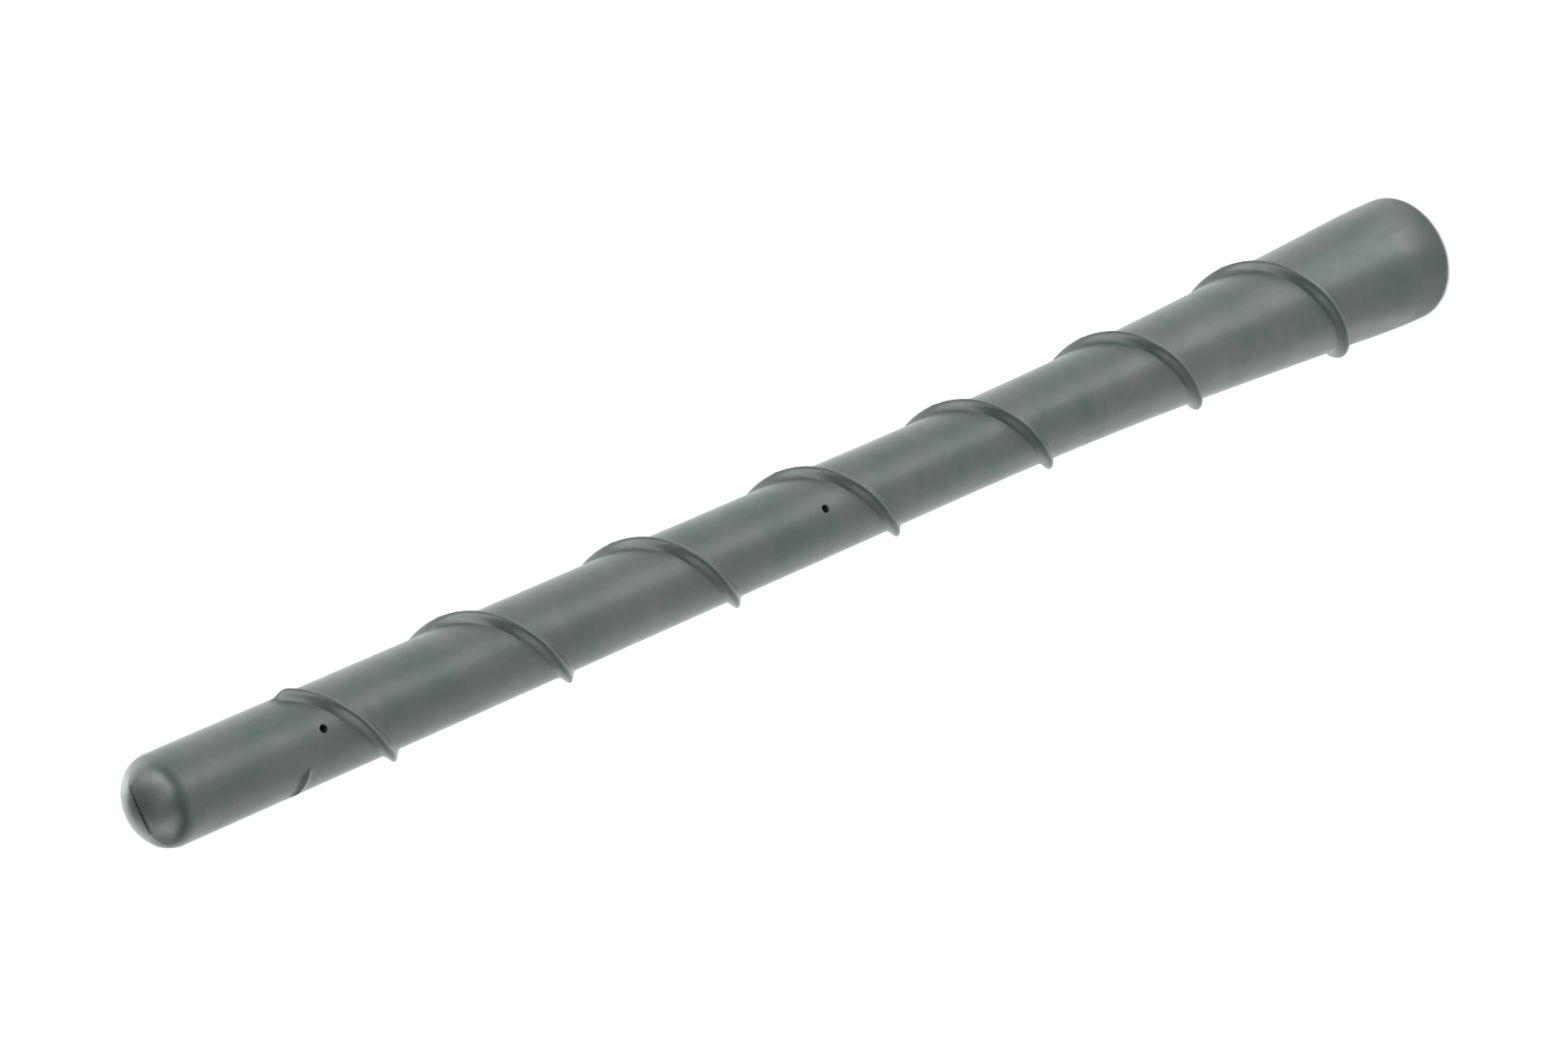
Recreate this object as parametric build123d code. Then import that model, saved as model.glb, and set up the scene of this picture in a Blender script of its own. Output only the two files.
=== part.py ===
from build123d import *
import math
import os

# Short roof aerial of a car: a rubber mast moulded over a wound rod, with a threaded foot.
# Millimetres. The mast stands on the rim of its base, +Z runs along the mast to the tip,
# and the origin is the centre of the rim. Outlines are drawn as (radius, height).

# Outline of the rubber mast
mast_length = 190.0
tip_diameter = 9.57
waist_diameter = 9.36
base_diameter = 14.6
tip_dome_height = 3.6
tip_corner_round = 2.7
collar_height = 5.5
waist_height = 52.5
collar_round = 110.0
waist_round = 880.0
rim_round = 1.0

# Helical rib that breaks up the wind
rib_pitch = 24.0
rib_height = 0.97
rib_foot_width = 1.75
rib_crest_width = 0.35
rib_root_depth = 0.4
rib_start_below_tip = 19.3
rib_end_height = 8.2
rib_start_angle = -10.3
rib_points_per_turn = 12

# Holes of the pins that hold the rod in the mould, the slit of the gate, and a nick
pin_hole_diameter = 0.9
pin_below_tip = 20.9
pin_spacing = 70.0
pin_angle = -88.5
gate_slit_length = 5.0
gate_slit_width = 0.35
gate_slit_depth = 0.45
gate_slit_offset = -0.4
nick_below_tip = 17.5
nick_angle = -151.0
nick_width = 0.45
nick_depth = 0.35

# Brass ferrule that screws on the car's stud
thread_core_diameter = 4.2
thread_depth = 11.0
thread_lead_in = 0.5
ferrule_recess = 0.3
ferrule_flange_diameter = 11.0
ferrule_flange_height = 2.5
ferrule_groove_diameter = 7.4
ferrule_groove_height = 3.0
ferrule_body_diameter = 9.0
ferrule_body_height = 18.5
socket_depth = 9.0

# Glass-fibre rod, with what is soldered, wound and shrunk on it
rod_diameter = 4.4
rod_end_below_tip = 9.0
bead_height = 1.5
winding_thickness = 0.35
winding_end_below_rod_end = 4.0
sleeve_wall = 0.35

# Clearances
rod_fit = 0.03
winding_fit = 0.03
sleeve_fit = 0.05
mould_fit = 0.05

# Radii and heights that the pieces share
tip_radius = tip_diameter / 2
waist_radius = waist_diameter / 2
base_radius = base_diameter / 2
dome_foot = mast_length - tip_dome_height
thread_radius = thread_core_diameter / 2
flange_radius = ferrule_flange_diameter / 2
groove_radius = ferrule_groove_diameter / 2
ferrule_radius = ferrule_body_diameter / 2
ferrule_foot = ferrule_recess
thread_top = ferrule_foot + thread_depth
flange_top = ferrule_foot + ferrule_flange_height
groove_top = flange_top + ferrule_groove_height
ferrule_top = groove_top + ferrule_body_height
rod_radius = rod_diameter / 2
rod_foot = ferrule_top - socket_depth
rod_top = mast_length - rod_end_below_tip
socket_radius = rod_radius + rod_fit
bead_top = ferrule_top + bead_height
winding_inner = rod_radius + winding_fit
winding_outer = winding_inner + winding_thickness
winding_top = rod_top - winding_end_below_rod_end
sleeve_inner = winding_outer + sleeve_fit
sleeve_outer = sleeve_inner + sleeve_wall

os.makedirs("parts", exist_ok=True)


def turned(outline):
    """Solid of revolution about the mast's axis, from a closed outline of edges."""
    return revolve(Plane.XZ * make_face(outline), Axis.Z)


def turned_steps(*corners):
    """Solid of revolution from the corners of an outline with straight sides."""
    return turned(Polyline(*corners, close=True))


# Rubber body: a rounded rim, a collar, an S-shaped flare, a slim taper and a low dome
side = FilletPolyline(
    (base_radius, rim_round),
    (base_radius, collar_height),
    (waist_radius, waist_height),
    (tip_radius, dome_foot),
    radius=[collar_round, waist_round],
)
rim = Bezier((base_radius - rim_round, 0), (base_radius, 0), (base_radius, rim_round))
corner_middle = tip_radius - tip_corner_round
crown_rise = tip_dome_height - tip_corner_round
crown_round = (corner_middle**2 + tip_dome_height**2 - tip_corner_round**2) / (2 * crown_rise)
corner_sweep = math.degrees(math.atan2(crown_round - tip_dome_height, corner_middle))
tip_corner = CenterArc((corner_middle, dome_foot), tip_corner_round, 0, corner_sweep)
crown = CenterArc((0, mast_length - crown_round), crown_round, corner_sweep, 90 - corner_sweep)
axis_line = Line((0, mast_length), (0, 0))
foot_line = Line((0, 0), (base_radius - rim_round, 0))
body = turned([foot_line, rim, side, tip_corner, crown, axis_line])


def side_radius(height):
    """Radius of the rubber, without its rib, at a height between the rim and the dome."""
    level = Line((0, height), (base_diameter, height))
    return side.intersect(level).vertices()[0].X


# Rib: a ridge with sloping flanks, swept up the side on a right-handed helix
rib_start_height = mast_length - rib_start_below_tip
rib_rise = rib_start_height - rib_end_height
rib_steps = math.ceil(rib_rise / rib_pitch * rib_points_per_turn)


def rib_point(step):
    """Point on the side of the rubber, on the rib's middle line."""
    height = rib_end_height + rib_rise * step / rib_steps
    angle = math.radians(rib_start_angle + 360 * (height - rib_start_height) / rib_pitch)
    radius = side_radius(height)
    return Vector(radius * math.cos(angle), radius * math.sin(angle), height)


flank_spread = (rib_foot_width - rib_crest_width) / rib_height
root_width = rib_foot_width + flank_spread * rib_root_depth
ridge = make_face(
    Polyline(
        (-rib_root_depth, -root_width / 2),
        (rib_height, -rib_crest_width / 2),
        (rib_height, rib_crest_width / 2),
        (-rib_root_depth, root_width / 2),
        close=True,
    )
)
rib_line = Spline([rib_point(step) for step in range(rib_steps + 1)])
rib_foot = rib_point(0)
rib_plane = Plane(rib_foot, x_dir=(rib_foot.X, rib_foot.Y, 0), z_dir=rib_line % 0)
rib = sweep(rib_plane * ridge, path=rib_line, is_frenet=True)

# Hollow of the rubber: the outline of what it is moulded over, resting on the ferrule's flange
hollow = turned_steps(
    (0, -mould_fit),
    (flange_radius + mould_fit, -mould_fit),
    (flange_radius + mould_fit, flange_top),
    (groove_radius + mould_fit, flange_top),
    (groove_radius + mould_fit, groove_top - mould_fit),
    (ferrule_radius + mould_fit, groove_top - mould_fit),
    (ferrule_radius + mould_fit, ferrule_top + mould_fit),
    (sleeve_outer + mould_fit, ferrule_top + mould_fit),
    (sleeve_outer + mould_fit, rod_top + mould_fit),
    (0, rod_top + mould_fit),
)


def outward_plane(angle, radius, below_tip):
    """Plane that faces away from the axis, with its first direction along the mast."""
    direction = Vector(1, 0, 0).rotate(Axis.Z, angle)
    centre = direction * radius + Vector(0, 0, mast_length - below_tip)
    return Plane(centre, x_dir=(0, 0, 1), z_dir=direction)


# Pin holes reach down to the sleeve, and the nick is one straight cut across the side
jacket = body + rib - hollow
for below_tip in (pin_below_tip, pin_below_tip + pin_spacing):
    pin = Cylinder(pin_hole_diameter / 2, tip_radius, align=(Align.CENTER, Align.CENTER, Align.MIN))
    jacket -= outward_plane(pin_angle, sleeve_outer, below_tip) * pin
nick_radius = side_radius(mast_length - nick_below_tip) - nick_depth
nick = Box(nick_width, tip_diameter, tip_radius, align=(Align.CENTER, Align.CENTER, Align.MIN))
jacket -= outward_plane(nick_angle, nick_radius, nick_below_tip) * nick
slit = Box(gate_slit_length, gate_slit_width, gate_slit_depth, align=(Align.CENTER, Align.CENTER, Align.MAX))
jacket -= Pos(0, gate_slit_offset, mast_length) * slit

# Ferrule: turned brass with a flange, a groove for the rubber and a bore at each end
ferrule = turned_steps(
    (thread_radius + thread_lead_in, ferrule_foot),
    (flange_radius, ferrule_foot),
    (flange_radius, flange_top),
    (groove_radius, flange_top),
    (groove_radius, groove_top),
    (ferrule_radius, groove_top),
    (ferrule_radius, ferrule_top),
    (socket_radius, ferrule_top),
    (socket_radius, rod_foot),
    (0, rod_foot),
    (0, thread_top),
    (thread_radius, thread_top),
    (thread_radius, ferrule_foot + thread_lead_in),
)


def tube(inner, outer, foot, top):
    """Plain ring or tube about the mast's axis."""
    return turned_steps((inner, foot), (outer, foot), (outer, top), (inner, top))


# Rod in its socket, the solder on the ferrule's top, the close turns of the winding, and the sleeve
core_rod = turned_steps((0, rod_foot), (rod_radius, rod_foot), (rod_radius, rod_top), (0, rod_top))
bead = tube(socket_radius, winding_outer, ferrule_top, bead_top)
winding = tube(winding_inner, winding_outer, bead_top, winding_top)
sleeve = tube(sleeve_inner, sleeve_outer, ferrule_top, rod_top)

pieces = {
    "rubber_jacket": jacket,
    "threaded_ferrule": ferrule,
    "core_rod": core_rod,
    "solder_bead": bead,
    "radiator_winding": winding,
    "shrink_sleeve": sleeve,
}
for name, piece in pieces.items():
    export_step(piece, f"parts/{name}.step")
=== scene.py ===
import math

import bpy
from mathutils import Matrix, Vector


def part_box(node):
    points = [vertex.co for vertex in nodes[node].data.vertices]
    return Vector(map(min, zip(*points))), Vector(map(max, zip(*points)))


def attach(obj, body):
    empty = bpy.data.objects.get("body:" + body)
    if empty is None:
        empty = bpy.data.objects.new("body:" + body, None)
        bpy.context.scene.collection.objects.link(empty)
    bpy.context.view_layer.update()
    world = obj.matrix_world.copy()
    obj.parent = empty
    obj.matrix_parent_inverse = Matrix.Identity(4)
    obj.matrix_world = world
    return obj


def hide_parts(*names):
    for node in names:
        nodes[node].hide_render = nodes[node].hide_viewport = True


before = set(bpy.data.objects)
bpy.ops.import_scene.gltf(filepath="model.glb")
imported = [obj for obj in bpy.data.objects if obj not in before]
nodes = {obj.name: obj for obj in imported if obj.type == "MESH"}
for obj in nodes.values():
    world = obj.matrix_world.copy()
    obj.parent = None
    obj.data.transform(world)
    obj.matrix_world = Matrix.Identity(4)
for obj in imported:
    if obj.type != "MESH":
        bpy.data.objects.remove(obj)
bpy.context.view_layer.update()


# Ferrule: a turned brass bush with a flange and a groove that lock it in the rubber.
# Its foot has a countersunk M5 thread for the car's stud, and its top a socket for the rod.
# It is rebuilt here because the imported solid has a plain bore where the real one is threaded.
mm = 0.001
ferrule_low, ferrule_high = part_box("threaded_ferrule")
ferrule_foot = ferrule_low.z
ferrule_top = ferrule_high.z
flange_radius = ferrule_high.x
flange_top = ferrule_foot + 2.5 * mm
groove_radius = 3.7 * mm
groove_top = flange_top + 3.0 * mm
ferrule_radius = 4.5 * mm
turned_edge = 0.15 * mm
socket_radius = 2.23 * mm
socket_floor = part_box("core_rod")[0].z
thread_radius = 2.1 * mm
thread_depth = 0.4 * mm
thread_pitch = 0.8 * mm
thread_top = ferrule_foot + 11.0 * mm
thread_flank_angle = math.radians(30)
lead_in = 0.5 * mm
lathe_segments = 96
turned_sharp_angle = 25
double_reach = 0.0005 * mm
cut_tolerance = 0.001 * mm


def start_piece():
    """Leaves nothing selected, so that the next operator acts on the new piece alone."""
    if bpy.context.object and bpy.context.object.mode != "OBJECT":
        bpy.ops.object.mode_set(mode="OBJECT")
    bpy.ops.object.select_all(action="DESELECT")


def pick(piece, wanted):
    """Selects, in edit mode, the piece's vertices whose place satisfies a test."""
    bpy.ops.object.mode_set(mode="EDIT")
    bpy.ops.mesh.select_mode(type="VERT")
    bpy.ops.mesh.select_all(action="DESELECT")
    bpy.ops.object.mode_set(mode="OBJECT")
    for vertex in piece.data.vertices:
        vertex.select = wanted(vertex.co)
    bpy.ops.object.mode_set(mode="EDIT")


def turn_on(start, outline):
    """Extrudes the selected ring through (radius, height) steps, as a lathe would cut them."""
    radius, height = start
    for next_radius, next_height in outline:
        bpy.ops.mesh.extrude_region_move(
            TRANSFORM_OT_translate={"value": (0, 0, next_height - height)}
        )
        ratio = next_radius / radius
        bpy.ops.transform.resize(value=(ratio, ratio, 1), center_override=(0, 0, next_height))
        radius, height = next_radius, next_height


def close_ring():
    """Shuts the selected ring with a pole on the axis."""
    bpy.ops.mesh.extrude_region_move()
    bpy.ops.mesh.merge(type="CENTER")


def finish_mesh(piece, edge_angle):
    """Merges doubles, turns the faces outwards and smooths all but the sharp edges."""
    bpy.ops.object.mode_set(mode="EDIT")
    bpy.ops.mesh.select_all(action="SELECT")
    bpy.ops.mesh.remove_doubles(threshold=double_reach)
    bpy.ops.mesh.normals_make_consistent(inside=False)
    bpy.ops.object.mode_set(mode="OBJECT")
    bpy.ops.object.select_all(action="DESELECT")
    piece.select_set(True)
    bpy.context.view_layer.objects.active = piece
    bpy.ops.object.shade_smooth_by_angle(angle=math.radians(edge_angle))


# The outside and the socket are one run of rings from the edge of the countersink.
start_piece()
mouth_radius = thread_radius + lead_in
bpy.ops.mesh.primitive_circle_add(
    vertices=lathe_segments, radius=mouth_radius, location=(0, 0, ferrule_foot)
)
ferrule = bpy.context.object
ferrule.name = "brass_ferrule"
bpy.ops.object.transform_apply(location=True, rotation=True, scale=True)
bpy.ops.object.mode_set(mode="EDIT")
bpy.ops.mesh.select_all(action="SELECT")
turn_on(
    (mouth_radius, ferrule_foot),
    [
        (flange_radius - turned_edge, ferrule_foot),
        (flange_radius, ferrule_foot + turned_edge),
        (flange_radius, flange_top),
        (groove_radius, flange_top),
        (groove_radius, groove_top),
        (ferrule_radius, groove_top),
        (ferrule_radius, ferrule_top - turned_edge),
        (ferrule_radius - turned_edge, ferrule_top),
        (socket_radius, ferrule_top),
        (socket_radius, socket_floor),
    ],
)
close_ring()
bpy.ops.object.mode_set(mode="OBJECT")

# The thread is one tooth space turned up a screw, then cut level at the mouth and at its end.
start_piece()
flank_rise = thread_depth * math.tan(thread_flank_angle)
root_flat = thread_pitch / 8
crest_flat = thread_pitch - 2 * flank_rise - root_flat
thread_foot = ferrule_foot + lead_in
tooth_space = [
    (thread_radius, 0),
    (thread_radius, crest_flat / 2),
    (thread_radius + thread_depth, crest_flat / 2 + flank_rise),
    (thread_radius + thread_depth, crest_flat / 2 + flank_rise + root_flat),
    (thread_radius, crest_flat / 2 + 2 * flank_rise + root_flat),
    (thread_radius, thread_pitch),
]
bpy.ops.mesh.primitive_plane_add(size=thread_pitch)
thread = bpy.context.object
bpy.ops.object.mode_set(mode="EDIT")
bpy.ops.mesh.select_all(action="SELECT")
bpy.ops.mesh.delete(type="ONLY_FACE")
pick(thread, lambda place: place.x > 0)
bpy.ops.mesh.delete(type="VERT")
bpy.ops.mesh.select_all(action="SELECT")
bpy.ops.mesh.subdivide(number_cuts=len(tooth_space) - 2)
bpy.ops.object.mode_set(mode="OBJECT")
in_a_row = sorted(thread.data.vertices, key=lambda vertex: vertex.co.y)
for vertex, (radius, rise) in zip(in_a_row, tooth_space):
    vertex.co = (radius, 0, thread_foot - thread_pitch + rise)
screw = thread.modifiers.new("thread", "SCREW")
screw.axis = "Z"
screw.screw_offset = thread_pitch
screw.iterations = math.ceil((thread_top - thread_foot) / thread_pitch) + 2
screw.steps = lathe_segments // 2
screw.render_steps = lathe_segments // 2
bpy.ops.object.modifier_apply(modifier=screw.name)
bpy.ops.object.mode_set(mode="EDIT")
bpy.ops.mesh.select_all(action="SELECT")
bpy.ops.mesh.remove_doubles(threshold=cut_tolerance)
bpy.ops.mesh.bisect(
    plane_co=(0, 0, thread_foot), plane_no=(0, 0, 1), clear_inner=True, threshold=cut_tolerance
)
bpy.ops.mesh.select_all(action="SELECT")
bpy.ops.mesh.bisect(
    plane_co=(0, 0, thread_top),
    plane_no=(0, 0, 1),
    clear_outer=True,
    use_fill=True,
    threshold=cut_tolerance,
)
bpy.ops.object.mode_set(mode="OBJECT")

# The countersink joins the two at their open edges.
start_piece()
thread.select_set(True)
ferrule.select_set(True)
bpy.context.view_layer.objects.active = ferrule
bpy.ops.object.join()
bpy.ops.object.mode_set(mode="EDIT")
bpy.ops.mesh.select_mode(type="EDGE")
bpy.ops.mesh.select_all(action="DESELECT")
bpy.ops.mesh.select_non_manifold(use_wire=False, use_multi_face=False, use_non_contiguous=False)
bpy.ops.mesh.bridge_edge_loops()
finish_mesh(ferrule, turned_sharp_angle)


def linear(hex_colour):
    """Linear RGBA of an sRGB hex colour such as #b08d57."""
    parts = [int(hex_colour[i : i + 2], 16) / 255 for i in (1, 3, 5)]
    return [c / 12.92 if c <= 0.04045 else ((c + 0.055) / 1.055) ** 2.4 for c in parts] + [1]


def add_node(material, kind, links=None, **settings):
    """Adds a shader node, sets its sockets and properties by name, and links its inputs."""
    node = material.node_tree.nodes.new(kind)
    for name, value in settings.items():
        if hasattr(node, name):
            setattr(node, name, value)
        else:
            node.inputs[name.replace("_", " ")].default_value = value
    for name, source in (links or {}).items():
        material.node_tree.links.new(source, node.inputs[name])
    return node


# Turned brass: bright yellow metal with fine lathe rings, slightly dulled by handling.
brass = bpy.data.materials.new("turned_brass")
brass.use_nodes = True
surface = brass.node_tree.nodes["Principled BSDF"]
place = add_node(brass, "ShaderNodeTexCoord").outputs["Object"]
split = add_node(brass, "ShaderNodeSeparateXYZ", {"Vector": place})
flat = add_node(brass, "ShaderNodeCombineXYZ", {"X": split.outputs["X"], "Y": split.outputs["Y"]})
reach = add_node(brass, "ShaderNodeVectorMath", {0: flat.outputs["Vector"]}, operation="LENGTH")
ring_place = add_node(
    brass, "ShaderNodeCombineXYZ", {"X": reach.outputs["Value"], "Z": split.outputs["Z"]}
)
lathe_ring = 0.12 * mm
rings = add_node(
    brass,
    "ShaderNodeTexNoise",
    {"Vector": ring_place.outputs["Vector"]},
    Scale=1 / lathe_ring,
    Detail=2.0,
)
stain_size = 2.5 * mm
stain = add_node(brass, "ShaderNodeTexNoise", {"Vector": place}, Scale=1 / stain_size, Detail=4.0)
tone = add_node(brass, "ShaderNodeValToRGB", {"Fac": stain.outputs["Fac"]})
tone.color_ramp.elements[0].color = linear("#9c7a41")
tone.color_ramp.elements[0].position = 0.35
tone.color_ramp.elements[1].color = linear("#d8b56b")
tone.color_ramp.elements[1].position = 0.62
dulling = add_node(
    brass, "ShaderNodeMapRange", {"Value": rings.outputs["Fac"]}, To_Min=0.22, To_Max=0.42
)
ring_bump = add_node(
    brass, "ShaderNodeBump", {"Height": rings.outputs["Fac"]}, Distance=0.01 * mm, Strength=0.5
)
brass.node_tree.links.new(tone.outputs["Color"], surface.inputs["Base Color"])
brass.node_tree.links.new(dulling.outputs["Result"], surface.inputs["Roughness"])
brass.node_tree.links.new(ring_bump.outputs["Normal"], surface.inputs["Normal"])
surface.inputs["Metallic"].default_value = 1.0
ferrule.data.materials.clear()
ferrule.data.materials.append(brass)
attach(ferrule, "root")
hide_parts("threaded_ferrule")


# Core rod: a straight pultruded glass-fibre rod, pushed into the ferrule's socket.
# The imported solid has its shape; the material gives the long fibres under the resin.
glass_fibre = bpy.data.materials.new("pultruded_glass_fibre")
glass_fibre.use_nodes = True
surface = glass_fibre.node_tree.nodes["Principled BSDF"]
place = add_node(glass_fibre, "ShaderNodeTexCoord").outputs["Object"]
fibre_width = 0.3 * mm
fibre_length = 20 * mm
drawn = add_node(
    glass_fibre,
    "ShaderNodeMapping",
    {"Vector": place},
    Scale=(1 / fibre_width, 1 / fibre_width, 1 / fibre_length),
)
fibres = add_node(
    glass_fibre, "ShaderNodeTexNoise", {"Vector": drawn.outputs["Vector"]}, Scale=1.0, Detail=3.0
)
tone = add_node(glass_fibre, "ShaderNodeValToRGB", {"Fac": fibres.outputs["Fac"]})
tone.color_ramp.elements[0].color = linear("#b9a874")
tone.color_ramp.elements[1].color = linear("#e2d9b4")
glass_fibre.node_tree.links.new(tone.outputs["Color"], surface.inputs["Base Color"])
surface.inputs["Roughness"].default_value = 0.35
nodes["core_rod"].data.materials.clear()
nodes["core_rod"].data.materials.append(glass_fibre)


# Solder: a ring of tin solder that joins the foot of the winding to the ferrule.
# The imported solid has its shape; the material is a dull grey metal with a frosted skin.
solder = bpy.data.materials.new("tin_solder")
solder.use_nodes = True
surface = solder.node_tree.nodes["Principled BSDF"]
place = add_node(solder, "ShaderNodeTexCoord").outputs["Object"]
frost_size = 0.4 * mm
frost = add_node(solder, "ShaderNodeTexNoise", {"Vector": place}, Scale=1 / frost_size, Detail=3.0)
skin = add_node(
    solder, "ShaderNodeMapRange", {"Value": frost.outputs["Fac"]}, To_Min=0.3, To_Max=0.6
)
solder.node_tree.links.new(skin.outputs["Result"], surface.inputs["Roughness"])
surface.inputs["Base Color"].default_value = linear("#b9b9b4")
surface.inputs["Metallic"].default_value = 1.0
nodes["solder_bead"].data.materials.clear()
nodes["solder_bead"].data.materials.append(solder)


# Winding: enamelled copper wire in close turns round the rod, which is the aerial proper.
# The imported solid is a tube; the material's bump gives it the single turns of wire, and its
# colour paints shade in the grooves between them.
copper = bpy.data.materials.new("enamelled_copper_wire")
copper.use_nodes = True
surface = copper.node_tree.nodes["Principled BSDF"]
place = add_node(copper, "ShaderNodeTexCoord").outputs["Object"]
wire_pitch = 0.4 * mm

# At a scale of 1 the wave texture repeats after this length.
wave_length = 2 * math.pi / 20
turns = add_node(
    copper,
    "ShaderNodeTexWave",
    {"Vector": place},
    bands_direction="Z",
    Scale=wave_length / wire_pitch,
)
wire_bump = add_node(
    copper, "ShaderNodeBump", {"Height": turns.outputs["Fac"]}, Distance=0.1 * mm, Strength=0.8
)
# Painted shade: the colour follows the turns' height, darker in the grooves between the turns.
tone = add_node(copper, "ShaderNodeValToRGB", {"Fac": turns.outputs["Fac"]})
tone.color_ramp.elements[0].color = linear("#7a3a1c")
tone.color_ramp.elements[1].color = linear("#c4743c")
copper.node_tree.links.new(tone.outputs["Color"], surface.inputs["Base Color"])
copper.node_tree.links.new(wire_bump.outputs["Normal"], surface.inputs["Normal"])
surface.inputs["Metallic"].default_value = 1.0
surface.inputs["Roughness"].default_value = 0.28
nodes["radiator_winding"].data.materials.clear()
nodes["radiator_winding"].data.materials.append(copper)


# Sleeve: a black tube shrunk over the winding, so that the moulded rubber can't shift the turns.
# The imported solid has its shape; the material is a satin plastic with a slightly wrinkled skin.
shrink_tube = bpy.data.materials.new("shrunk_polyolefin")
shrink_tube.use_nodes = True
surface = shrink_tube.node_tree.nodes["Principled BSDF"]
place = add_node(shrink_tube, "ShaderNodeTexCoord").outputs["Object"]
wrinkle_size = 0.8 * mm
wrinkles = add_node(
    shrink_tube, "ShaderNodeTexNoise", {"Vector": place}, Scale=1 / wrinkle_size, Detail=3.0
)
wrinkle_bump = add_node(
    shrink_tube,
    "ShaderNodeBump",
    {"Height": wrinkles.outputs["Fac"]},
    Distance=0.03 * mm,
    Strength=0.6,
)
shrink_tube.node_tree.links.new(wrinkle_bump.outputs["Normal"], surface.inputs["Normal"])
surface.inputs["Base Color"].default_value = linear("#1d1d1e")
surface.inputs["Roughness"].default_value = 0.45
nodes["shrink_sleeve"].data.materials.clear()
nodes["shrink_sleeve"].data.materials.append(shrink_tube)


# Rubber mast: grey rubber moulded over everything above, in two mould halves that part on Y = 0.
# A helical rib keeps the wind from humming on it. The mould's pins left two small holes in front,
# the gate left a slit across the tip, and the rubber has one slanting nick with raised lips.
mast_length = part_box("rubber_jacket")[1].z
tip_radius = 4.785 * mm
waist_radius = 4.68 * mm
base_radius = 7.3 * mm
dome_height = 3.6 * mm
dome_corner = 2.7 * mm
dome_foot = mast_length - dome_height
collar_height = 5.5 * mm
collar_reach = 3.07 * mm
waist_height = 52.5 * mm
waist_reach = 24.9 * mm
rim_round = 1.0 * mm
flare_slope = (waist_radius - base_radius) / (waist_height - collar_height)
taper_slope = (tip_radius - waist_radius) / (dome_foot - waist_height)
rib_pitch = 24.0 * mm
rib_height = 0.965 * mm
rib_crest = 0.06 * mm
rib_foot = 0.95 * mm
rib_start = mast_length - 19.3 * mm
rib_end = 8.2 * mm
rib_start_angle = -10.3
rib_end_ease = 1.0 * mm
flash_height = 0.04 * mm
flash_width = 0.15 * mm
flash_foot = 14.0 * mm
nick_angle = -151.0
nick_height = mast_length - 17.5 * mm
nick_width = 0.75 * mm
nick_depth = 0.5 * mm
nick_slant = math.radians(15)
nick_lip = 0.22 * mm
nick_lip_width = 0.85 * mm
nick_patch_height = 2.2 * mm
nick_patch_turn = 30
nick_cuts = 5
rows_per_turn = 48
columns_per_turn = 120
row_crowding = 0.75
seam_reach = 0.002 * mm
ring_reach = 0.005 * mm
moulded_sharp_angle = 35


def bent(height, corner, reach):
    """Distance past a corner in the mast's outline, with the corner eased over its reach."""
    eased = min(max(height - corner + reach, 0), 2 * reach)
    return eased * eased / (4 * reach) + max(height - corner - reach, 0)


def mast_radius(height):
    """Radius of the rubber without its rib: collar, flare and slim upper part."""
    flare = flare_slope * bent(height, collar_height, collar_reach)
    taper = (taper_slope - flare_slope) * bent(height, waist_height, waist_reach)
    return base_radius + flare + taper


def eased_step(share):
    """Smooth step from 0 to 1."""
    share = min(max(share, 0), 1)
    return share * share * (3 - 2 * share)


def rib_rise(place):
    """Height of the rib above the rubber at a point of the mast's side."""
    angle = math.degrees(math.atan2(place.y, place.x))
    middle = rib_start + (angle - rib_start_angle) / 360 * rib_pitch
    middle += round((place.z - middle) / rib_pitch) * rib_pitch
    lead = math.atan(rib_pitch / (2 * math.pi * mast_radius(place.z)))
    away = abs(place.z - middle) * math.cos(lead)
    ridge = eased_step((rib_foot - away) / (rib_foot - rib_crest))
    lower_end = eased_step((middle - rib_end) / rib_end_ease)
    upper_end = eased_step((rib_start - middle) / rib_end_ease)
    return rib_height * ridge * (lower_end * upper_end)


def flash_rise(place):
    """Height of the thin line of flash where the mould's halves met."""
    near = max(1 - abs(place.y) / flash_width, 0)
    return flash_height * near * eased_step(place.z / flash_foot - 1)


def lip_rise(place):
    """Height of the lips that the nick raised on both its sides."""
    turn = math.atan2(place.y, place.x) - math.radians(nick_angle)
    reach = math.acos(1 - nick_depth / mast_radius(nick_height))
    along = eased_step(2 - 2 * abs(turn) / reach)
    middle = nick_height - mast_radius(nick_height) * turn * math.tan(nick_slant)
    return nick_lip * along * eased_step(1 - abs(place.z - middle) / nick_lip_width)


# One pitch of the side is a row of points, crowded at the rib, turned up a screw of the rib's
# pitch. So the mesh's rows run along the rib.
start_piece()
rib_at_front = rib_start - rib_start_angle / 360 * rib_pitch
first_middle = rib_at_front - (math.ceil(rib_at_front / rib_pitch) + 1) * rib_pitch
bpy.ops.mesh.primitive_plane_add(size=2)
mast = bpy.context.object
mast.name = "rubber_mast"
bpy.ops.object.mode_set(mode="EDIT")
bpy.ops.mesh.select_all(action="SELECT")
bpy.ops.mesh.delete(type="ONLY_FACE")
pick(mast, lambda place: place.x > 0)
bpy.ops.mesh.delete(type="VERT")
bpy.ops.mesh.select_all(action="SELECT")
bpy.ops.mesh.subdivide(number_cuts=rows_per_turn - 1)
bpy.ops.object.mode_set(mode="OBJECT")
for vertex in mast.data.vertices:
    share = vertex.co.y
    crowded = share * (1 - row_crowding) + row_crowding * share**3
    vertex.co = (base_radius, 0, first_middle + crowded * rib_pitch / 2)
screw = mast.modifiers.new("side", "SCREW")
screw.axis = "Z"
screw.screw_offset = rib_pitch
screw.iterations = math.ceil((mast_length - first_middle) / rib_pitch) + 1
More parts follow.
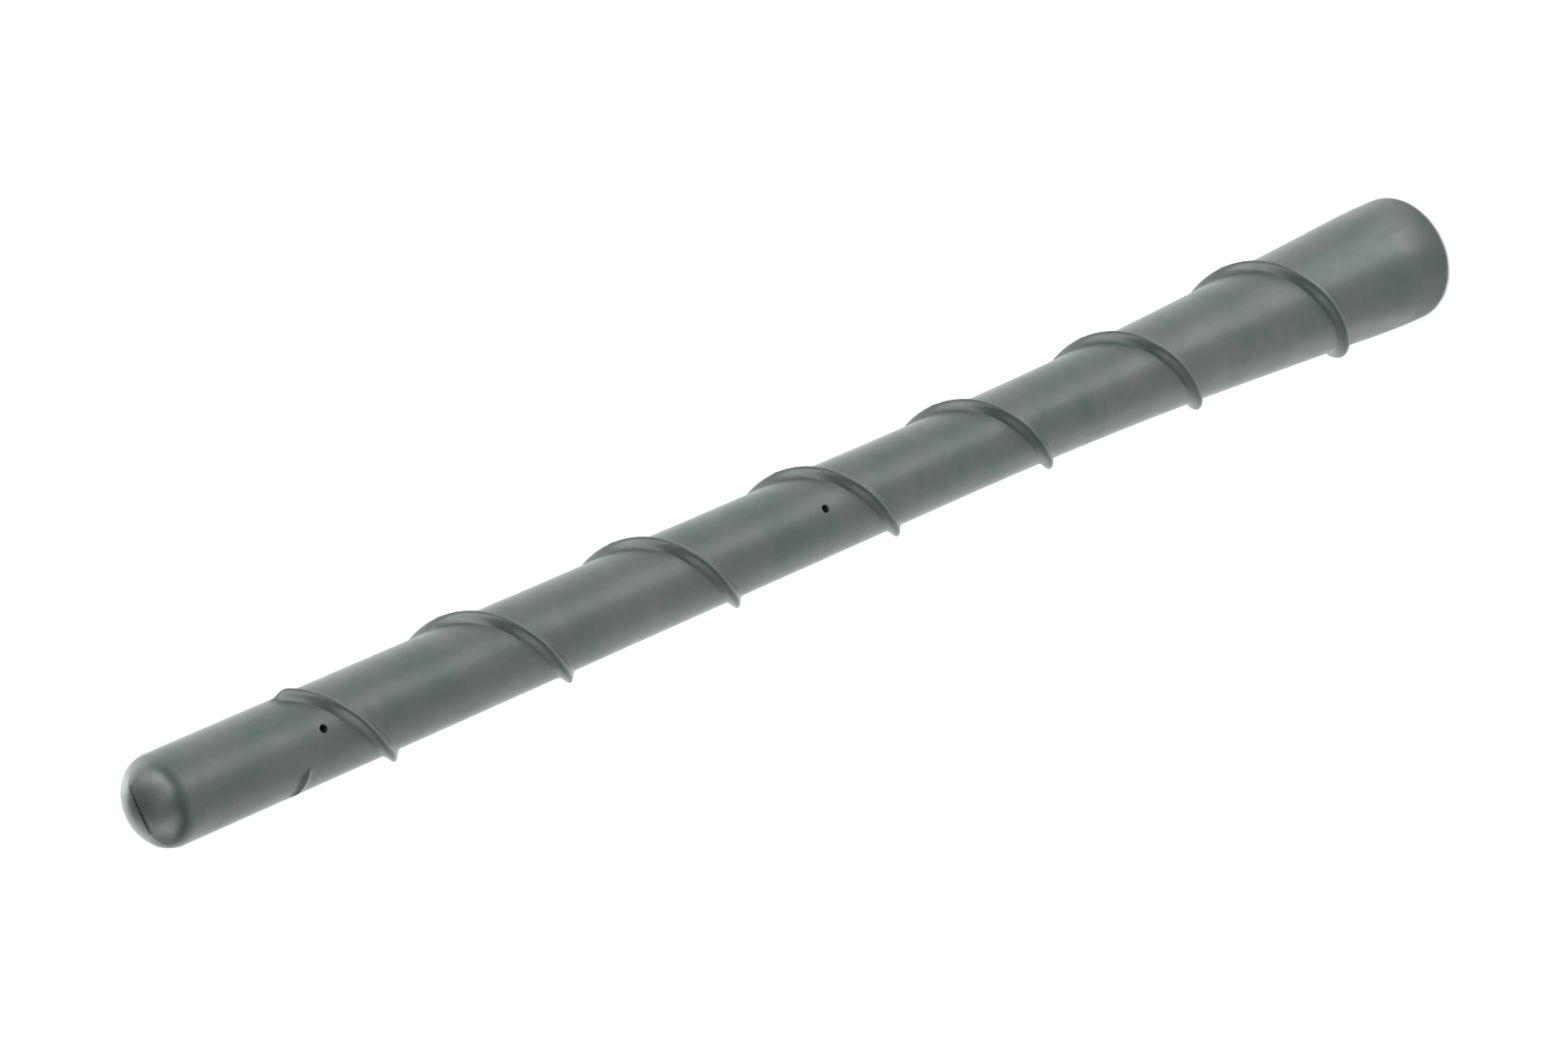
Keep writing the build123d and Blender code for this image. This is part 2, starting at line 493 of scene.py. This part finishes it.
screw.steps = columns_per_turn
screw.render_steps = columns_per_turn
bpy.ops.object.modifier_apply(modifier=screw.name)
bpy.ops.object.mode_set(mode="EDIT")
bpy.ops.mesh.select_all(action="SELECT")
bpy.ops.mesh.remove_doubles(threshold=seam_reach)
bpy.ops.mesh.bisect(
    plane_co=(0, 0, rim_round), plane_no=(0, 0, 1), clear_inner=True, threshold=cut_tolerance
)
bpy.ops.mesh.select_all(action="SELECT")
bpy.ops.mesh.bisect(
    plane_co=(0, 0, dome_foot), plane_no=(0, 0, 1), clear_outer=True, threshold=cut_tolerance
)
pick(
    mast,
    lambda place: abs(place.z - nick_height) < nick_patch_height
    and abs(math.degrees(math.atan2(place.y, place.x)) - nick_angle) < nick_patch_turn,
)
bpy.ops.mesh.subdivide(number_cuts=nick_cuts)
bpy.ops.object.mode_set(mode="OBJECT")
for vertex in mast.data.vertices:
    place = vertex.co
    out = Vector((place.x, place.y)).normalized()
    radius = mast_radius(place.z) + rib_rise(place) + flash_rise(place) + lip_rise(place)
    vertex.co = (out.x * radius, out.y * radius, place.z)

# The dome is a tight corner and a flatter crown, tangent to each other. Its pole is a hair low,
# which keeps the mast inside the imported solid's box.
corner_middle = tip_radius - dome_corner
crown_rise = dome_height - dome_corner
crown_round = (corner_middle**2 + dome_height**2 - dome_corner**2) / (2 * crown_rise)
crown_start = math.atan2(crown_round - dome_height, corner_middle)
crown_middle = mast_length - crown_round
corner_steps = 8
crown_steps = 10
pole_drop = 0.001 * mm
dome = []
for step in range(1, corner_steps + 1):
    turn = crown_start * step / corner_steps
    radius = corner_middle + dome_corner * math.cos(turn)
    dome.append((radius, dome_foot + dome_corner * math.sin(turn)))
for step in range(1, crown_steps):
    turn = crown_start + (math.pi / 2 - crown_start) * step / crown_steps
    dome.append((crown_round * math.cos(turn), crown_middle + crown_round * math.sin(turn)))
pick(mast, lambda place: place.z > dome_foot - ring_reach)
turn_on((mast_radius(dome_foot), dome_foot), dome)
bpy.ops.mesh.extrude_region_move(
    TRANSFORM_OT_translate={"value": (0, 0, mast_length - pole_drop - dome[-1][1])}
)
bpy.ops.mesh.merge(type="CENTER")

# The rim rolls under to a flat foot, and the hollow follows what the rubber is moulded over.
mould_gap = 0.05 * mm
sleeve_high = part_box("shrink_sleeve")[1]
rim_steps = 8
under = []
for step in range(1, rim_steps + 1):
    share = step / rim_steps
    under.append((base_radius - rim_round * share**2, rim_round * (1 - share) ** 2))
under += [
    (flange_radius + mould_gap, 0),
    (flange_radius + mould_gap, flange_top),
    (groove_radius + mould_gap, flange_top),
    (groove_radius + mould_gap, groove_top - mould_gap),
    (ferrule_radius + mould_gap, groove_top - mould_gap),
    (ferrule_radius + mould_gap, ferrule_top + mould_gap),
    (sleeve_high.x + mould_gap, ferrule_top + mould_gap),
    (sleeve_high.x + mould_gap, sleeve_high.z + mould_gap),
]
pick(mast, lambda place: place.z < rim_round + ring_reach)
turn_on((base_radius, rim_round), under)
close_ring()
bpy.ops.object.mode_set(mode="OBJECT")

# Pin holes, the nick and the gate's slit are cut out with small tools: round pins, a square bar
# with one corner inwards, and a thin blade.
pin_radius = 0.45 * mm
pin_sides = 32
pin_angle = math.radians(-88.5)
pin_heights = (mast_length - 20.9 * mm, mast_length - 90.9 * mm)
slit_length = 5.0 * mm
slit_width = 0.35 * mm
slit_depth = 1.0 * mm
slit_slant = math.radians(50)
slit_offset = -1.0 * mm
slit_height = mast_length - 0.09 * mm


def cut_out(tool):
    """Takes a tool's shape out of the rubber mast, and then the tool away."""
    start_piece()
    mast.select_set(True)
    bpy.context.view_layer.objects.active = mast
    cut = mast.modifiers.new("cut", "BOOLEAN")
    cut.operation = "DIFFERENCE"
    cut.solver = "EXACT"
    cut.object = tool
    bpy.ops.object.modifier_apply(modifier=cut.name)
    bpy.data.objects.remove(tool)


finish_mesh(mast, moulded_sharp_angle)
for pin_height in pin_heights:
    start_piece()
    bpy.ops.mesh.primitive_cylinder_add(
        vertices=pin_sides,
        radius=pin_radius,
        depth=2 * (tip_radius - sleeve_high.x),
        location=(tip_radius * math.cos(pin_angle), tip_radius * math.sin(pin_angle), pin_height),
        rotation=(0, math.pi / 2, pin_angle),
    )
    cut_out(bpy.context.object)
start_piece()
nick_turn = math.radians(nick_angle)
nick_top = mast_radius(nick_height) + nick_lip
bpy.ops.mesh.primitive_cylinder_add(
    vertices=4,
    radius=1,
    depth=2 * tip_radius,
    location=(nick_top * math.cos(nick_turn), nick_top * math.sin(nick_turn), nick_height),
    rotation=(math.pi / 2 - nick_slant, 0, nick_turn),
    scale=(nick_depth + nick_lip, nick_width / 2, 1),
)
cut_out(bpy.context.object)
start_piece()
bpy.ops.mesh.primitive_cube_add(
    size=1,
    location=(0, slit_offset, slit_height),
    rotation=(slit_slant, 0, 0),
    scale=(slit_length, slit_width, 2 * slit_depth),
)
cut_out(bpy.context.object)
finish_mesh(mast, moulded_sharp_angle)

# Moulded rubber: a satin grey-green skin, mottled in tone and gloss by wax that bloomed to the
# surface, with the mould's grain. The grain is drawn coarser than it is, so that it shows.
rubber = bpy.data.materials.new("moulded_rubber")
rubber.use_nodes = True
surface = rubber.node_tree.nodes["Principled BSDF"]
place = add_node(rubber, "ShaderNodeTexCoord").outputs["Object"]
bloom_size = 8 * mm
bloom = add_node(
    rubber,
    "ShaderNodeTexNoise",
    {"Vector": place},
    Scale=1 / bloom_size,
    Detail=5.0,
    Roughness=0.68,
)
tone = add_node(rubber, "ShaderNodeValToRGB", {"Fac": bloom.outputs["Fac"]})
tone.color_ramp.elements[0].color = linear("#182a26")
tone.color_ramp.elements[0].position = 0.35
tone.color_ramp.elements[1].color = linear("#2b2c29")
tone.color_ramp.elements[1].position = 0.65
sheen_size = 3 * mm
sheen = add_node(
    rubber, "ShaderNodeTexNoise", {"Vector": place}, Scale=1 / sheen_size, Detail=4.0, Roughness=0.7
)
skin = add_node(
    rubber, "ShaderNodeMapRange", {"Value": sheen.outputs["Fac"]}, To_Min=0.32, To_Max=0.48
)
grain_size = 0.35 * mm
grain = add_node(rubber, "ShaderNodeTexNoise", {"Vector": place}, Scale=1 / grain_size, Detail=3.0)
grain_bump = add_node(
    rubber, "ShaderNodeBump", {"Height": grain.outputs["Fac"]}, Distance=0.02 * mm, Strength=0.6
)
gloss = add_node(
    rubber, "ShaderNodeMapRange", {"Value": bloom.outputs["Fac"]}, To_Min=0.3, To_Max=0.7
)
rubber.node_tree.links.new(tone.outputs["Color"], surface.inputs["Base Color"])
rubber.node_tree.links.new(gloss.outputs["Result"], surface.inputs["Specular IOR Level"])
rubber.node_tree.links.new(skin.outputs["Result"], surface.inputs["Roughness"])
rubber.node_tree.links.new(grain_bump.outputs["Normal"], surface.inputs["Normal"])
mast.data.materials.clear()
mast.data.materials.append(rubber)
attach(mast, "root")
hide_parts("rubber_jacket")


# Studio: a plain pale floor under the standing mast, soft light and the photographer's view.
# The camera looks down on the mast and is turned so that the tip lies at the lower left.
start_piece()
floor_reach = 1.3
floor_drop = 0.05 * mm
glow_start = 0.35
glow_full = 1.1
bpy.ops.mesh.primitive_plane_add(size=2 * floor_reach, location=(0, 0, -floor_drop))
floor = bpy.context.object
floor.name = "floor"

# Floor: matt white with painted light. It glows faintly near the mast and fully towards its edge,
# where the softboxes don't reach.
pale = bpy.data.materials.new("pale_floor")
pale.use_nodes = True
surface = pale.node_tree.nodes["Principled BSDF"]
place = add_node(pale, "ShaderNodeTexCoord").outputs["Object"]
reach = add_node(pale, "ShaderNodeVectorMath", {0: place}, operation="LENGTH")
glow = add_node(
    pale,
    "ShaderNodeMapRange",
    {"Value": reach.outputs["Value"]},
    From_Min=glow_start,
    From_Max=glow_full,
    To_Min=0.06,
    To_Max=1.0,
)
pale.node_tree.links.new(glow.outputs["Result"], surface.inputs["Emission Strength"])
surface.inputs["Base Color"].default_value = linear("#f2f2f2")
surface.inputs["Roughness"].default_value = 0.9
surface.inputs["Emission Color"].default_value = linear("#ffffff")
floor.data.materials.append(pale)

# Backdrop: a white tent with a flat foot round the floor, which throws no light on the mast.
start_piece()
tent_reach = 3.0
tent_foot = -1.0 * mm
tent_sharp_angle = 35
bpy.ops.mesh.primitive_uv_sphere_add(radius=tent_reach)
backdrop = bpy.context.object
backdrop.name = "backdrop"
pick(backdrop, lambda place: place.z < ring_reach)
bpy.ops.transform.resize(value=(1, 1, 0), center_override=(0, 0, 0))
bpy.ops.transform.translate(value=(0, 0, tent_foot))
finish_mesh(backdrop, tent_sharp_angle)
white = bpy.data.materials.new("white_tent")
white.use_nodes = True
surface = white.node_tree.nodes["Principled BSDF"]
surface.inputs["Base Color"].default_value = linear("#f2f2f2")
surface.inputs["Emission Color"].default_value = linear("#ffffff")
surface.inputs["Emission Strength"].default_value = 1.0
backdrop.data.materials.append(white)
backdrop.visible_diffuse = False
backdrop.visible_glossy = False
backdrop.visible_shadow = False

# Camera: a long lens, where the photographer stood.
looks_along = Vector((-0.00545, 0.76599, -0.64283))
photo_up = Vector((0.91792, -0.25129, -0.30722))
photo_right = looks_along.cross(photo_up)
camera_place = (4.07 * mm, -501.78 * mm, 522.18 * mm)
camera_data = bpy.data.cameras.new("camera")
camera_data.sensor_width = 36
camera_data.lens = 143.5
camera_data.clip_start = 0.01
camera = bpy.data.objects.new("camera", camera_data)
bpy.context.scene.collection.objects.link(camera)
facing = Matrix((photo_right, photo_up, -looks_along)).transposed().to_4x4()
camera.matrix_world = Matrix.Translation(camera_place) @ facing
bpy.context.scene.camera = camera


def add_light(name, width, depth, power):
    """A soft area light, kept out of the picture itself."""
    light = bpy.data.lights.new(name, "AREA")
    light.shape = "RECTANGLE"
    light.size = width
    light.size_y = depth
    light.energy = power
    light.color = linear("#f9fffc")[:3]
    lamp = bpy.data.objects.new(name, light)
    lamp.visible_camera = False
    bpy.context.scene.collection.objects.link(lamp)
    return lamp


# Softboxes stand round the mast and hang over it.
softbox_height = 0.5
mast_middle = Vector((0, 0, mast_length / 2))
for name, azimuth, elevation, distance, width, power in (
    ("back", 90, 12, 1.1, 1.2, 6.8),
    ("back_right", 45, 12, 1.1, 1.2, 9.0),
    ("back_left", 135, 12, 1.1, 1.2, 1.3),
    ("right", 0, 42, 1.1, 1.2, 7.6),
    ("front_right", 315, 42, 1.1, 1.2, 14.6),
    ("front", 270, 25, 1.1, 1.2, 0.8),
    ("low_front", 270, 3, 1.1, 1.2, 1.5),
    ("low_right", 0, 4, 1.1, 0.9, 3.1),
    ("left", 180, 42, 1.1, 1.2, 9.0),
    ("high_left", 135, 42, 1.1, 1.2, 3.6),
    ("top_right", 0, 65, 0.9, 0.5, 0.9),
    ("top_left", 180, 65, 0.9, 0.5, 0.9),
    ("top_front", 270, 65, 0.9, 0.5, 1.6),
):
    softbox = add_light(name, width, softbox_height, power)
    turn, lift = math.radians(azimuth), math.radians(elevation)
    level = math.cos(lift)
    direction = Vector((math.cos(turn) * level, math.sin(turn) * level, math.sin(lift)))
    softbox.location = mast_middle + direction * distance
    softbox.rotation_euler = (-direction).to_track_quat("-Z", "Y").to_euler()

# Rows of panels lie on the floor, wider with distance, so that the light they throw up is an
# equally wide stripe at every height of the mast.
panel_rings = ((0.011, 0.025), (0.025, 0.055), (0.055, 0.12), (0.12, 0.26), (0.26, 0.56))
panel_spread = 0.36
panel_lift = 0.5 * mm
for azimuth, radiances in (
    (-45, (1.8, 1.4, 0.4)),
    (-60, (3.0, 2.7, 2.3, 2.1, 2.1)),
    (-75, (3.1, 3.0, 2.9, 2.9, 2.9)),
    (180, (0.6, 0.6, 0.6, 0.5, 0.5)),
):
    turn = math.radians(azimuth)
    for (near, far), radiance in zip(panel_rings, radiances):
        reach = (near + far) / 2
        length, width = far - near, panel_spread * reach
        panel = add_light("floor_panel", length, width, radiance * math.pi * length * width)
        panel.location = (reach * math.cos(turn), reach * math.sin(turn), panel_lift)
        panel.rotation_euler = (math.pi, 0, turn)

# The room itself is nearly dark.
world = bpy.data.worlds.new("studio")
world.use_nodes = True
world.node_tree.nodes["Background"].inputs["Color"].default_value = linear("#ffffff")
world.node_tree.nodes["Background"].inputs["Strength"].default_value = 0.02
bpy.context.scene.world = world
bpy.context.scene.view_settings.view_transform = "Standard"
